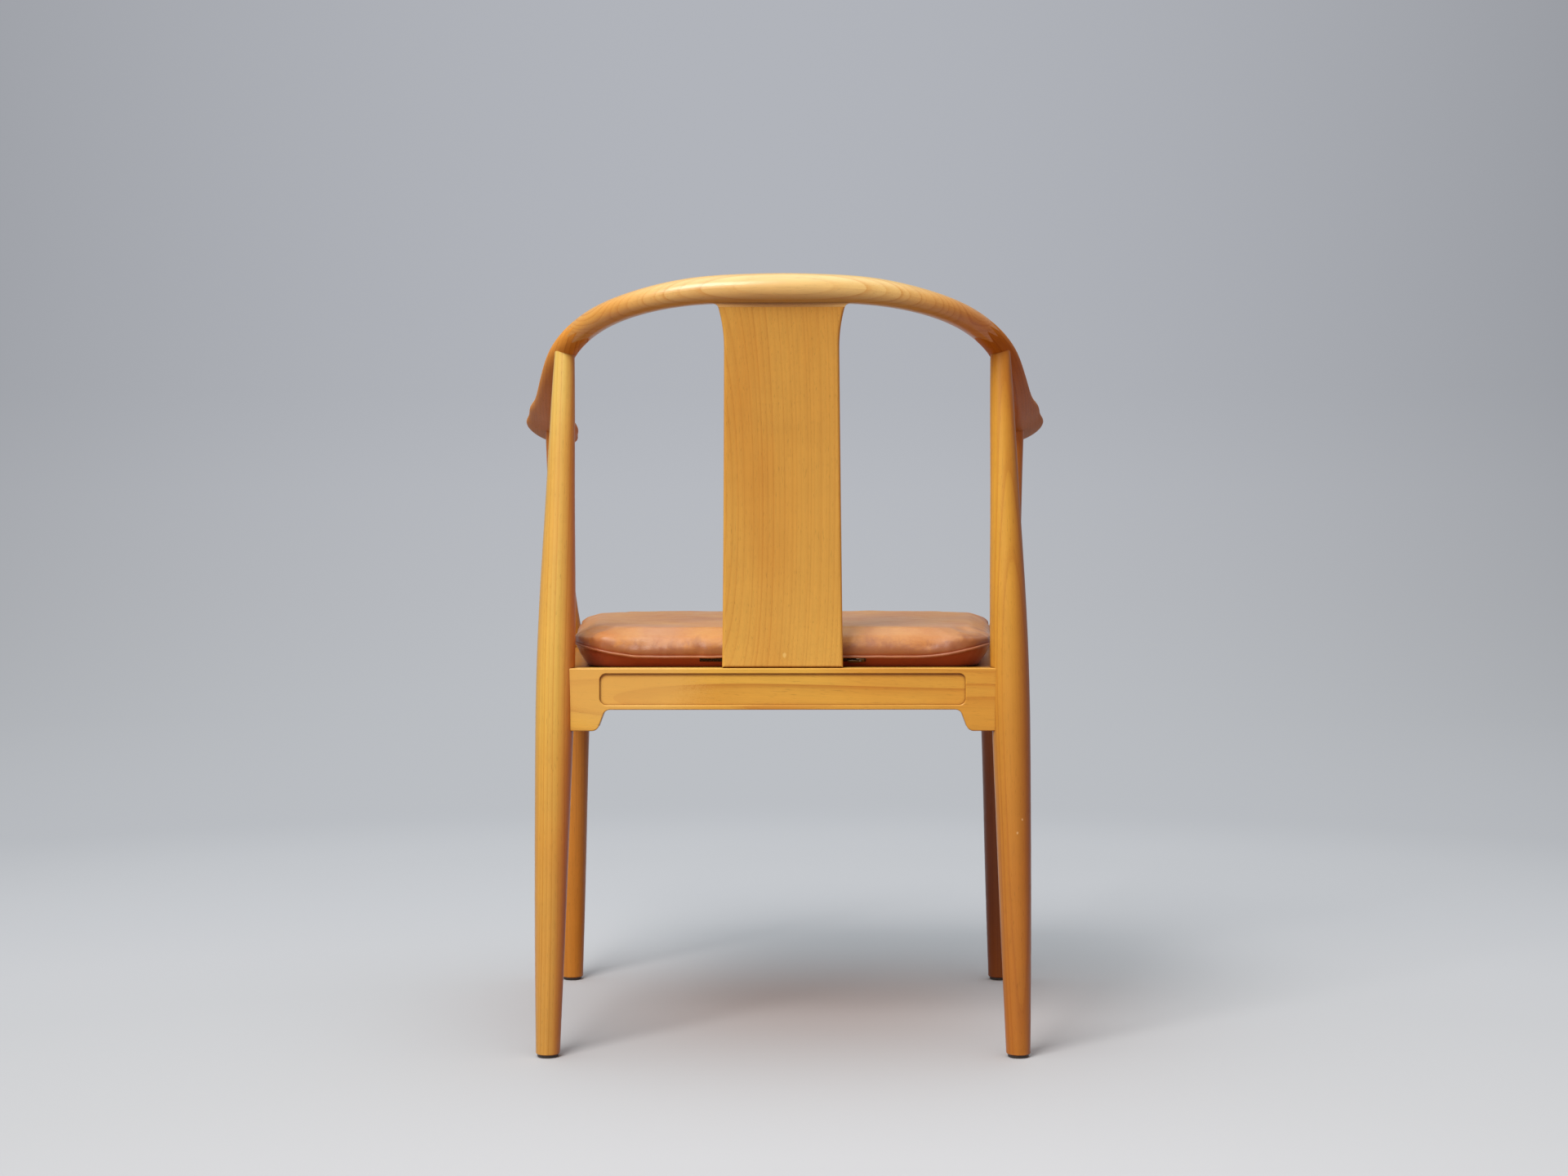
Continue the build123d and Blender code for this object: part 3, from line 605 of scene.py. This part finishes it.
def sculptCushion(piece):
    # the welt's climb, puckers that run away from the seam, and slow hollows
    look = cushion
    mesh = piece.data
    middleY = (look["front"] + look["rear"]) / 2
    normals = [point.normal.copy() for point in mesh.vertices]
    for point, normal in zip(mesh.vertices, normals):
        x, y, z = point.co
        height = z - look["welt"]
        room = (look["top"] - look["welt"]) if height > 0 else (look["welt"] - look["bottom"])
        near = max(0.0, 1 - abs(height) / room)
        point.co.z += weltClimb(x, y) * near ** look["riseFade"]
        side = max(0.0, 1 - abs(normal.z)) ** 0.5
        along = Vector((x * look["puckerScale"], y * look["puckerScale"], math.atan2(y - middleY, x) * 2))
        ridge = noise.noise(along) + 0.6 * noise.noise(along * 2.1 + Vector((7, 3, 1)))
        lively = min(1.0, max(0.0, waves(x, y, look["calmScale"], 2.6) * 2 + 0.5))
        lively = look["calmest"] + (1 - look["calmest"]) * lively
        if height > 0:
            reach = math.exp(-((height - 0.004) / look["puckerAbove"]) ** 2)
        else:
            reach = math.exp(-(height / look["puckerBelow"]) ** 2)
        gather = look["pucker"] * ridge * reach * lively * (0.35 + 0.65 * side)
        # hollows where it has been sat on, and loose leather near the rim
        soft = waves(x, y, look["hollowScale"], 0.7) * look["hollow"]
        soft += waves(x, y, look["looseScale"], 4.2) * look["loose"]
        point.co += normal * (gather + soft * max(0.0, normal.z))
        if point.co.z < look["bottom"]:
            point.co.z = look["bottom"]
    mesh.update()


def seamAttribute(piece):
    # how far each point is above the welt, for the painted shade at the seam
    attribute = piece.data.attributes.new("seam", "FLOAT", "POINT")
    for index, point in enumerate(piece.data.vertices):
        attribute.data[index].value = point.co.z - (cushion["welt"] + weltClimb(point.co.x, point.co.y))


cover = newPiece("leather_cover", makeCushionForm())
remesh = cover.modifiers.new("remesh", "REMESH")
remesh.mode = "VOXEL"
remesh.voxel_size = cushion["voxel"]
applied(cover)
print("cushion form,", len(cover.data.vertices), "points")
blowUp(cover)
print("cushion blown up")
finer = cover.modifiers.new("finer", "SUBSURF")
finer.levels = finer.render_levels = 1
applied(cover)
sculptCushion(cover)
seamAttribute(cover)
cover.data.polygons.foreach_set("use_smooth", [True] * len(cover.data.polygons))


def surfaceTree(piece):
    bm = bmesh.new()
    bm.from_mesh(piece.data)
    tree = BVHTree.FromBMesh(bm)
    bm.free()
    return tree


coverTree = surfaceTree(cover)

# the corded welt round the cushion's widest line
piping = {"radius": 0.0015, "points": 620, "sides": 10, "proud": 0.0009, "wobble": 0.0003, "smoothing": 3}


def weltPath(count):
    # points round the cushion on its skin, at the height of the welt
    bm = bmesh.new()
    addRing(bm, 0.0, 0.0)
    corners = [vert.co.copy() for vert in sorted(bm.verts, key=lambda v: math.atan2(v.co.y, v.co.x))]
    bm.free()
    loop = corners + corners[:1]
    lengths = [0.0]
    for start, end in zip(loop, loop[1:]):
        lengths.append(lengths[-1] + (end - start).length)
    middleY = (cushion["front"] + cushion["rear"]) / 2
    points = []
    section = 0
    for step in range(count):
        want = lengths[-1] * step / count
        while lengths[section + 1] < want:
            section += 1
        share = (want - lengths[section]) / (lengths[section + 1] - lengths[section])
        flat = loop[section].lerp(loop[section + 1], share)
        height = cushion["welt"] + weltClimb(flat.x, flat.y)
        outside = Vector((flat.x, flat.y, height))
        inward = (Vector((0, middleY, height)) - outside).normalized()
        hit, normal, index, distance = coverTree.ray_cast(outside - inward * 0.05, inward)
        points.append((hit, normal))
    return points


def tubeAlong(bm, points, radius, sides):
    # a closed round tube through points that know which way is out
    count = len(points)
    turns = [2 * math.pi * k / sides for k in range(sides)]
    rings = []
    for index, (centre, outward) in enumerate(points):
        along = (points[(index + 1) % count][0] - points[index - 1][0]).normalized()
        side = (outward - along * outward.dot(along)).normalized()
        up = along.cross(side)
        rings.append([bm.verts.new(centre + side * (radius * math.cos(turn)) + up * (radius * math.sin(turn)))
                      for turn in turns])
    for index in range(count):
        first, second = rings[index], rings[(index + 1) % count]
        for k in range(sides):
            bm.faces.new((first[k], second[k], second[(k + 1) % sides], first[(k + 1) % sides]))
    bmesh.ops.recalc_face_normals(bm, faces=bm.faces[:])


def makePiping():
    look = piping
    raw = weltPath(look["points"])
    count = len(raw)
    centres = [hit + normal * look["proud"] for hit, normal in raw]
    for again in range(look["smoothing"]):
        centres = [(centres[k - 1] + centres[k] * 2 + centres[(k + 1) % count]) / 4 for k in range(count)]
    path = [(centre + Vector((0, 0, noise.noise(centre * 60) * look["wobble"])), outward)
            for centre, (hit, outward) in zip(centres, raw)]
    bm = bmesh.new()
    tubeAlong(bm, path, look["radius"], look["sides"])
    return newPiece("leather_piping", bm)


pipe = makePiping()
print("piping laid,", piping["points"], "points")

# closed zip under the rear welt: tape, teeth and slider
zipper = {
    "half": (zipHigh.x - zipLow.x) / 2,
    "drop": cushion["welt"] - (zipLow.z + zipHigh.z) / 2,
    "tape": 0.0048,
    "tapeLift": 0.0005,
    "tapeThickness": 0.0006,
    "steps": 90,
    "tooth": (0.0011, 0.0024, 0.0008),
    "toothLift": 0.0011,
    "toothStagger": 0.00045,
    "toothEdge": 0.00018,
    "pitch": 0.0020,
    # the slider's body, bridge and pull: size, and place over the tape
    "slider": [((0.0085, 0.0052, 0.0009), (0, 0, 0.0021)), ((0.0035, 0.0016, 0.0014), (0, 0, 0.0030)),
               ((0.0125, 0.0034, 0.0007), (0.0075, 0, 0.0036))],
    "sliderIn": 0.006,
    "sliderEdge": 0.0003,
}


def zipPoint(x, drop):
    # a point of the zip on the cover, the way up there, and the turn that lays a block on the skin
    start = Vector((x, cushion["rear"] + 0.05, cushion["welt"] - drop))
    hit, normal, index, distance = coverTree.ray_cast(start, Vector((0, -1, 0)))
    side = Vector((1, 0, 0))
    up = normal.cross(side).normalized()
    return hit, normal, up, Matrix((side, up, normal)).transposed().to_4x4()


def addBlock(bm, place, size, edge, segments):
    # a small block with softened edges
    block = bmesh.ops.create_cube(bm, size=1.0, matrix=place @ Matrix.Diagonal((*size, 1)))
    edges = []
    for vert in block["verts"]:
        edges += [link for link in vert.link_edges if link not in edges]
    bmesh.ops.bevel(bm, geom=edges, offset=edge, segments=segments, affect="EDGES", profile=0.5, material=-1)


def makeZipTape():
    look = zipper
    bm = bmesh.new()
    rows = []
    for step in range(look["steps"] + 1):
        x = -look["half"] + 2 * look["half"] * step / look["steps"]
        row = []
        for drop in (-0.5, -0.17, 0.17, 0.5):
            hit, normal, up, turn = zipPoint(x, look["drop"] + drop * look["tape"])
            row.append(bm.verts.new(hit + normal * look["tapeLift"]))
        rows.append(row)
    for first, second in zip(rows, rows[1:]):
        for k in range(len(first) - 1):
            bm.faces.new((first[k], first[k + 1], second[k + 1], second[k]))
    bmesh.ops.solidify(bm, geom=bm.faces[:], thickness=look["tapeThickness"])
    bmesh.ops.recalc_face_normals(bm, faces=bm.faces[:])
    return newPiece("zip_tape", bm)


def makeZipTeeth():
    look = zipper
    bm = bmesh.new()
    for number in range(int(2 * look["half"] / look["pitch"])):
        hit, normal, up, turn = zipPoint(-look["half"] + look["pitch"] * (number + 0.5), look["drop"])
        shift = up * (look["toothStagger"] if number % 2 else -look["toothStagger"])
        place = Matrix.Translation(hit + normal * look["toothLift"] + shift) @ turn
        addBlock(bm, place, look["tooth"], look["toothEdge"], 1)
    return newPiece("zip_teeth", bm, smooth=False)


def makeZipSlider():
    look = zipper
    hit, normal, up, turn = zipPoint(-look["half"] + look["sliderIn"], look["drop"])
    bm = bmesh.new()
    for size, offset in look["slider"]:
        addBlock(bm, Matrix.Translation(hit) @ turn @ Matrix.Translation(offset), size, look["sliderEdge"], 2)
    return newPiece("zip_slider", bm)


tape, teeth, slider = makeZipTape(), makeZipTeeth(), makeZipSlider()
print("zip laid")


# leather: cloudy tan with pale patches of painted sheen, pebbled grain, and painted shade round the seam

leather = {
    "tan": (0.590, 0.255, 0.042),
    "warm": (0.500, 0.175, 0.030),
    # pale patches of painted sheen, where the leather would mirror the grey backdrop
    "paintedSheen": (0.460, 0.300, 0.210),
    # darker colours for the painted shade at the seam and in the folds
    "dark": (0.330, 0.052, 0.017),
    "seamShade": (0.190, 0.045, 0.028),
    "blotchScale": 13.0,
    "paintedSheenScale": 8.0,
    "paintedSheenDepth": 0.34,
    "fineScale": 70.0,
    "pebbleScale": 620.0,
    "pebbleWander": 0.0012,
    "foldScale": 55.0,
    "foldDepth": 0.10,
    # painted shade over and under the welt, in metres
    "bandDepth": 0.85,
    "rimDepth": 0.55,
    "seamShadeDepth": 0.60,
    "seamShadeScale": 42.0,
    "seamShadeRagged": 0.032,
    "roughness": 0.40,
    "index": 1.5,
    "sheen": 0.16,
    "relief": 0.0003,
    "reliefStrength": 0.4,
}


def addSeamColours(tree, colour, place, look):
    # painted shade round the welt: a ragged darker zone, a dark band under it where the cushion turns under,
    # and a dark line on it
    height = tree.nodes.new("ShaderNodeAttribute")
    height.attribute_name = "seam"
    height = height.outputs["Fac"]
    ragged = cloudy(tree, mapped(tree, place, location=(6, 9, 2)), look["seamShadeScale"], 4.0, 0.6, 0.8)
    seamShade = calc(tree, "MULTIPLY_ADD", ragged, -look["seamShadeRagged"], height)
    seamShade = spread(tree, seamShade, -0.010, 0.004, look["seamShadeDepth"], 0.0, smooth=True)
    colour = mixed(tree, seamShade, colour, look["seamShade"])
    band = spread(tree, height, -0.004, 0.001, look["bandDepth"], 0.0, smooth=True)
    colour = mixed(tree, band, colour, look["dark"])
    rim = spread(tree, calc(tree, "ABSOLUTE", height), 0.0008, 0.0045, look["rimDepth"], 0.0, smooth=True)
    return mixed(tree, rim, colour, look["dark"])


def makeLeather(name, seam, **changes):
    look = {**leather, **changes}
    material, tree, shader = newMaterial(name)
    place = objectPlace(tree)
    blotch = cloudy(tree, place, look["blotchScale"], 3.0, 0.5, 0.3)
    fine = cloudy(tree, mapped(tree, place, location=(3, 1, 7)), look["fineScale"], 5.0, 0.6)
    colour = mixed(tree, spread(tree, blotch, 0.30, 0.75, smooth=True), look["tan"], look["warm"])
    # painted sheen: pale grey patches laid into the colour
    sheenPatches = cloudy(tree, mapped(tree, place, location=(8, 2, 5)), look["paintedSheenScale"], 3.0, 0.5, 0.2)
    sheenPatches = spread(tree, sheenPatches, 0.42, 0.72, 0.0, look["paintedSheenDepth"], smooth=True)
    colour = mixed(tree, sheenPatches, colour, look["paintedSheen"])
    colour = mixed(tree, spread(tree, fine, 0.30, 0.75, 0.0, 0.16), colour, look["warm"], "MULTIPLY")
    # pebbled grain with folds between the pebbles, the folds darkened with painted shade
    wander = scaledBy(tree, cloudy(tree, place, 260.0, output="Color"), look["pebbleWander"])
    pebble = tree.nodes.new("ShaderNodeTexVoronoi")
    pebble.feature = "DISTANCE_TO_EDGE"
    feed(tree, pebble.inputs["Vector"], vectorCalc(tree, "ADD", place, wander))
    pebble.inputs["Scale"].default_value = look["pebbleScale"]
    valley = spread(tree, pebble.outputs["Distance"], 0.0, 0.14)
    folds = cloudy(tree, mapped(tree, place, scale=(1.0, 2.4, 1.0)), look["foldScale"], 3.0, 0.55, 1.6)
    fold = spread(tree, calc(tree, "ABSOLUTE", calc(tree, "SUBTRACT", folds, 0.5)), 0.0, 0.05)
    crease = calc(tree, "MULTIPLY_ADD", fold, -look["foldDepth"], look["foldDepth"])
    colour = mixed(tree, crease, colour, look["dark"])
    if seam:
        colour = addSeamColours(tree, colour, place, look)
    tree.links.new(colour, shader.inputs["Base Color"])
    rough = spread(tree, fine, 0.25, 0.8, look["roughness"] - 0.07, look["roughness"] + 0.10)
    tree.links.new(rough, shader.inputs["Roughness"])
    shader.inputs["IOR"].default_value = look["index"]
    shader.inputs["Sheen Weight"].default_value = look["sheen"]
    shader.inputs["Sheen Roughness"].default_value = 0.4
    relief = calc(tree, "MULTIPLY_ADD", valley, 0.25, calc(tree, "MULTIPLY", fold, 0.30))
    relief = calc(tree, "MULTIPLY_ADD", fine, 0.5, relief)
    bumped(tree, shader, relief, look["relief"], look["reliefStrength"])
    return material


# darker piping leather, with pinkish patches of painted sheen
weltLeather = dict(tan=(0.42, 0.150, 0.050), warm=(0.30, 0.080, 0.030), paintedSheen=(0.46, 0.24, 0.17))
zipFinishes = {
    "zip_tape": dict(low=(0.020, 0.012, 0.009), high=(0.045, 0.028, 0.020),
                     metal=0.0, rough=0.8, scale=1800.0),
    "zip_teeth": dict(low=(0.05, 0.035, 0.025), high=(0.10, 0.07, 0.05),
                      metal=0.6, rough=0.45, scale=900.0),
    "zip_slider": dict(low=(0.12, 0.09, 0.06), high=(0.2, 0.15, 0.1),
                       metal=1.0, rough=0.35, scale=500.0),
}


def makeZipFinish(name, low, high, metal, rough, scale):
    material, tree, shader = newMaterial(name)
    weave = cloudy(tree, objectPlace(tree), scale, 3.0, 0.6)
    tree.links.new(ramped(tree, weave, [(0.3, low), (0.7, high)]), shader.inputs["Base Color"])
    tree.links.new(spread(tree, weave, 0.2, 0.8, rough - 0.08, rough + 0.08), shader.inputs["Roughness"])
    shader.inputs["Metallic"].default_value = metal
    bumped(tree, shader, weave, 0.0002, 0.4)
    return material


cover.data.materials.append(makeLeather("leather", True))
pipe.data.materials.append(makeLeather("leather_welt", False, **weltLeather))
for piece in (tape, teeth, slider):
    piece.data.materials.append(makeZipFinish(piece.name, **zipFinishes[piece.name]))

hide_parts("cushion_cover", "cushion_core")
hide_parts("cushion_piping")
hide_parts("cushion_zip")
for piece in (cover, pipe, tape, teeth, slider):
    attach(piece, "cushion")
print("cushion dressed")


# studio: one large lamp, the air around, and a round floor that bends up into a wall

lamps = {
    "key": dict(place=(1.18, 2.15, 2.65), aim=(0, 0, 0.45), size=1.5, power=94.0,
                colour=(1.0, 0.985, 0.955)),
}
# cool overhead, dim and warm at the horizon, with a broad glow from behind the chair
air = {
    "zenith": (1.55, 2.45, 2.78),
    "horizon": (0.300, 0.095, 0.026),
    "ground": (0.260, 0.085, 0.022),
    "glow": (0.50, 0.43, 0.36),
    "climb": 5.0,
    "lean": 0.45,
    "side": 0.85,
}


def addLamp(name, place, aim, size, power, colour):
    lamp = bpy.data.lights.new(name, "AREA")
    lamp.size = size
    lamp.energy = power
    lamp.color = colour
    holder = bpy.data.objects.new(name, lamp)
    holder.location = place
    holder.rotation_euler = (Vector(aim) - Vector(place)).to_track_quat("-Z", "Y").to_euler()
    bpy.context.scene.collection.objects.link(holder)


def makeAir():
    world = bpy.data.worlds.new("air")
    world.use_nodes = True
    tree = world.node_tree
    east, north, up = splitAxes(tree, tree.nodes.new("ShaderNodeTexCoord").outputs["Generated"])
    high = calc(tree, "POWER", calc(tree, "MAXIMUM", up, 0.0), air["climb"])
    high = calc(tree, "MULTIPLY", high, calc(tree, "MULTIPLY_ADD", east, air["lean"], 1.0))
    around = mixed(tree, spread(tree, up, -0.05, 0.05), air["ground"], air["horizon"])
    behind = calc(tree, "POWER", calc(tree, "MAXIMUM", north, 0.0), 2.0)
    behind = calc(tree, "MULTIPLY", behind, calc(tree, "MULTIPLY_ADD", east, air["side"], 1.0))
    total = vectorCalc(tree, "ADD", scaledBy(tree, air["zenith"], high), around)
    total = vectorCalc(tree, "ADD", total, scaledBy(tree, air["glow"], behind))
    tree.links.new(total, tree.nodes["Background"].inputs["Color"])
    return world


for name, settings in lamps.items():
    addLamp(name, **settings)
bpy.context.scene.world = makeAir()

studio = {
    "radius": 5.5,
    "bend": 1.5,
    "height": 4.6,
    "floorSteps": 20,
    "bendSteps": 24,
    "turnSteps": 128,
    # near the chair the floor is lit and shadowed, far from it the stage glows by itself
    "pool": (1.35, 2.0),
    "bright": (0.0, 1.2, 0.0),
    # distance from the bright spot, and the floor's colour there
    "floor": [(0.6, (0.700, 0.700, 0.716)), (1.0, (0.650, 0.654, 0.668)), (1.44, (0.606, 0.614, 0.632)),
              (1.72, (0.596, 0.606, 0.628)), (2.05, (0.564, 0.578, 0.604)), (2.45, (0.530, 0.546, 0.572)),
              (2.95, (0.504, 0.522, 0.552)), (4.5, (0.502, 0.520, 0.550))],
    # height, and the wall's colour there
    "wall": [(0.0, (0.502, 0.520, 0.550)), (0.26, (0.486, 0.502, 0.534)), (0.58, (0.474, 0.490, 0.526)),
             (0.9, (0.444, 0.460, 0.498)), (1.2, (0.440, 0.456, 0.496)), (2.5, (0.440, 0.456, 0.496))],
    # what the floor sends back to the chair, and its lift where the eye sees it
    "bounce": (0.27, 0.16, 0.09),
    "lift": 1.07,
    # the stage dims to both sides of its middle
    "middle": 0.19,
    "fall": 0.36,
    "fallReach": 3.05,
    "dimmest": 0.72,
}


def lampOn(tree, place, settings):
    # the light that an area lamp sends to the floor, over pi
    lamp = Vector(settings["place"])
    facing = (Vector(settings["aim"]) - lamp).normalized()
    away = vectorCalc(tree, "SUBTRACT", place, tuple(lamp))
    forward = vectorCalc(tree, "DOT_PRODUCT", away, tuple(facing), output="Value")
    square = vectorCalc(tree, "DOT_PRODUCT", away, away, output="Value")
    fourth = calc(tree, "MULTIPLY", square, square)
    level = calc(tree, "MULTIPLY", forward, lamp.z * settings["power"] / math.pi ** 2)
    return scaledBy(tree, settings["colour"], calc(tree, "DIVIDE", level, fourth))


def airOnFloor():
    # the same for the air: a power of the height, an even horizon, and half of a squared side glow
    overhead = 2 / (air["climb"] + 2)
    return tuple(top * overhead + low + back / 8
                 for top, low, back in zip(air["zenith"], air["horizon"], air["glow"]))


def scaledRamp(tree, value, stops):
    reach = stops[-1][0]
    stops = [(place / reach, colour) for place, colour in stops]
    return ramped(tree, calc(tree, "DIVIDE", value, reach), stops)


def makeStudio():
    look = studio
    bm = bmesh.new()
    flat = look["radius"] - look["bend"]
    line = [bm.verts.new((flat * k / look["floorSteps"], 0, 0)) for k in range(look["floorSteps"] + 1)]
    for k in range(1, look["bendSteps"] + 1):
        turn = math.pi / 2 * k / look["bendSteps"]
        line.append(bm.verts.new((flat + look["bend"] * math.sin(turn), 0,
                                  look["bend"] * (1 - math.cos(turn)))))
    line.append(bm.verts.new((look["radius"], 0, look["height"])))
    edges = [bm.edges.new(pair) for pair in zip(line, line[1:])]
    bmesh.ops.spin(bm, geom=line + edges, cent=(0, 0, 0), axis=(0, 0, 1), angle=2 * math.pi,
                   steps=look["turnSteps"], use_merge=True)
    bmesh.ops.remove_doubles(bm, verts=bm.verts[:], dist=0.00001)
    bmesh.ops.recalc_face_normals(bm, faces=bm.faces[:])
    bmesh.ops.reverse_faces(bm, faces=bm.faces[:])
    return newPiece("studio_floor", bm)


def stageColour(tree, place):
    # how bright the floor and the wall should look, before the chair's shadow
    look = studio
    height = splitAxes(tree, place)["Z"]
    sideways = splitAxes(tree, place)["X"]
    flat = vectorCalc(tree, "MULTIPLY", place, (1, 1, 0))
    fromSpot = vectorCalc(tree, "LENGTH", vectorCalc(tree, "SUBTRACT", flat, look["bright"]), output="Value")
    floor = scaledRamp(tree, fromSpot, look["floor"])
    wall = scaledRamp(tree, height, look["wall"])
    colour = mixed(tree, spread(tree, height, 0.0, 0.05), floor, wall)
    off = calc(tree, "DIVIDE", calc(tree, "SUBTRACT", sideways, look["middle"]), look["fallReach"])
    fall = calc(tree, "MULTIPLY_ADD", calc(tree, "MULTIPLY", off, off), -look["fall"], 1.0)
    return scaledBy(tree, colour, calc(tree, "MAXIMUM", fall, look["dimmest"]))


def shaderMix(tree, factor, first, second):
    node = tree.nodes.new("ShaderNodeMixShader")
    feed(tree, node.inputs[0], factor)
    tree.links.new(first, node.inputs[1])
    tree.links.new(second, node.inputs[2])
    return node.outputs[0]


def makeStudioFinish():
    look = studio
    material = bpy.data.materials.new("studio_floor")
    material.use_nodes = True
    tree = material.node_tree
    tree.nodes.clear()
    output = tree.nodes.new("ShaderNodeOutputMaterial")
    place = objectPlace(tree)
    target = stageColour(tree, place)
    light = airOnFloor()
    for settings in lamps.values():
        light = vectorCalc(tree, "ADD", lampOn(tree, place, settings), light)
    paint = vectorCalc(tree, "DIVIDE", target, light)
    # the eye and mirrors see the stage as it is, and other rays get the quiet bounce
    rays = tree.nodes.new("ShaderNodeLightPath")
    seen = calc(tree, "MAXIMUM", rays.outputs["Is Camera Ray"], rays.outputs["Is Glossy Ray"])
    seen = calc(tree, "MAXIMUM", seen, rays.outputs["Is Transmission Ray"])
    quiet = mixed(tree, seen, look["bounce"], grey(look["lift"]))
    near = tree.nodes.new("ShaderNodeBsdfDiffuse")
    tree.links.new(vectorCalc(tree, "MULTIPLY", paint, quiet), near.inputs["Color"])
    glow = tree.nodes.new("ShaderNodeEmission")
    tree.links.new(target, glow.inputs["Color"])
    clear = tree.nodes.new("ShaderNodeBsdfTransparent")
    far = shaderMix(tree, seen, clear.outputs[0], glow.outputs[0])
    fromChair = vectorCalc(tree, "LENGTH", vectorCalc(tree, "MULTIPLY", place, (1, 1, 0)), output="Value")
    both = shaderMix(tree, spread(tree, fromChair, *look["pool"], smooth=True), near.outputs[0], far)
    tree.links.new(both, output.inputs["Surface"])
    return material


stage = makeStudio()
stage.data.materials.append(makeStudioFinish())
print("studio built")

# camera: behind the chair, a little over the seat
camera = {
    "place": (-0.0205, 2.8486, 0.60697),
    "turn": (87.613, 0.0745, 180.401),
    "focal": 58.15,
    "sensor": 36.0,
    "farthest": 60.0,
}
lens = bpy.data.cameras.new("camera")
lens.lens = camera["focal"]
lens.sensor_width = camera["sensor"]
lens.clip_end = camera["farthest"]
eye = bpy.data.objects.new("camera", lens)
eye.location = camera["place"]
eye.rotation_euler = tuple(math.radians(angle) for angle in camera["turn"])
bpy.context.scene.collection.objects.link(eye)
bpy.context.scene.camera = eye
bpy.context.scene.view_settings.view_transform = "Standard"
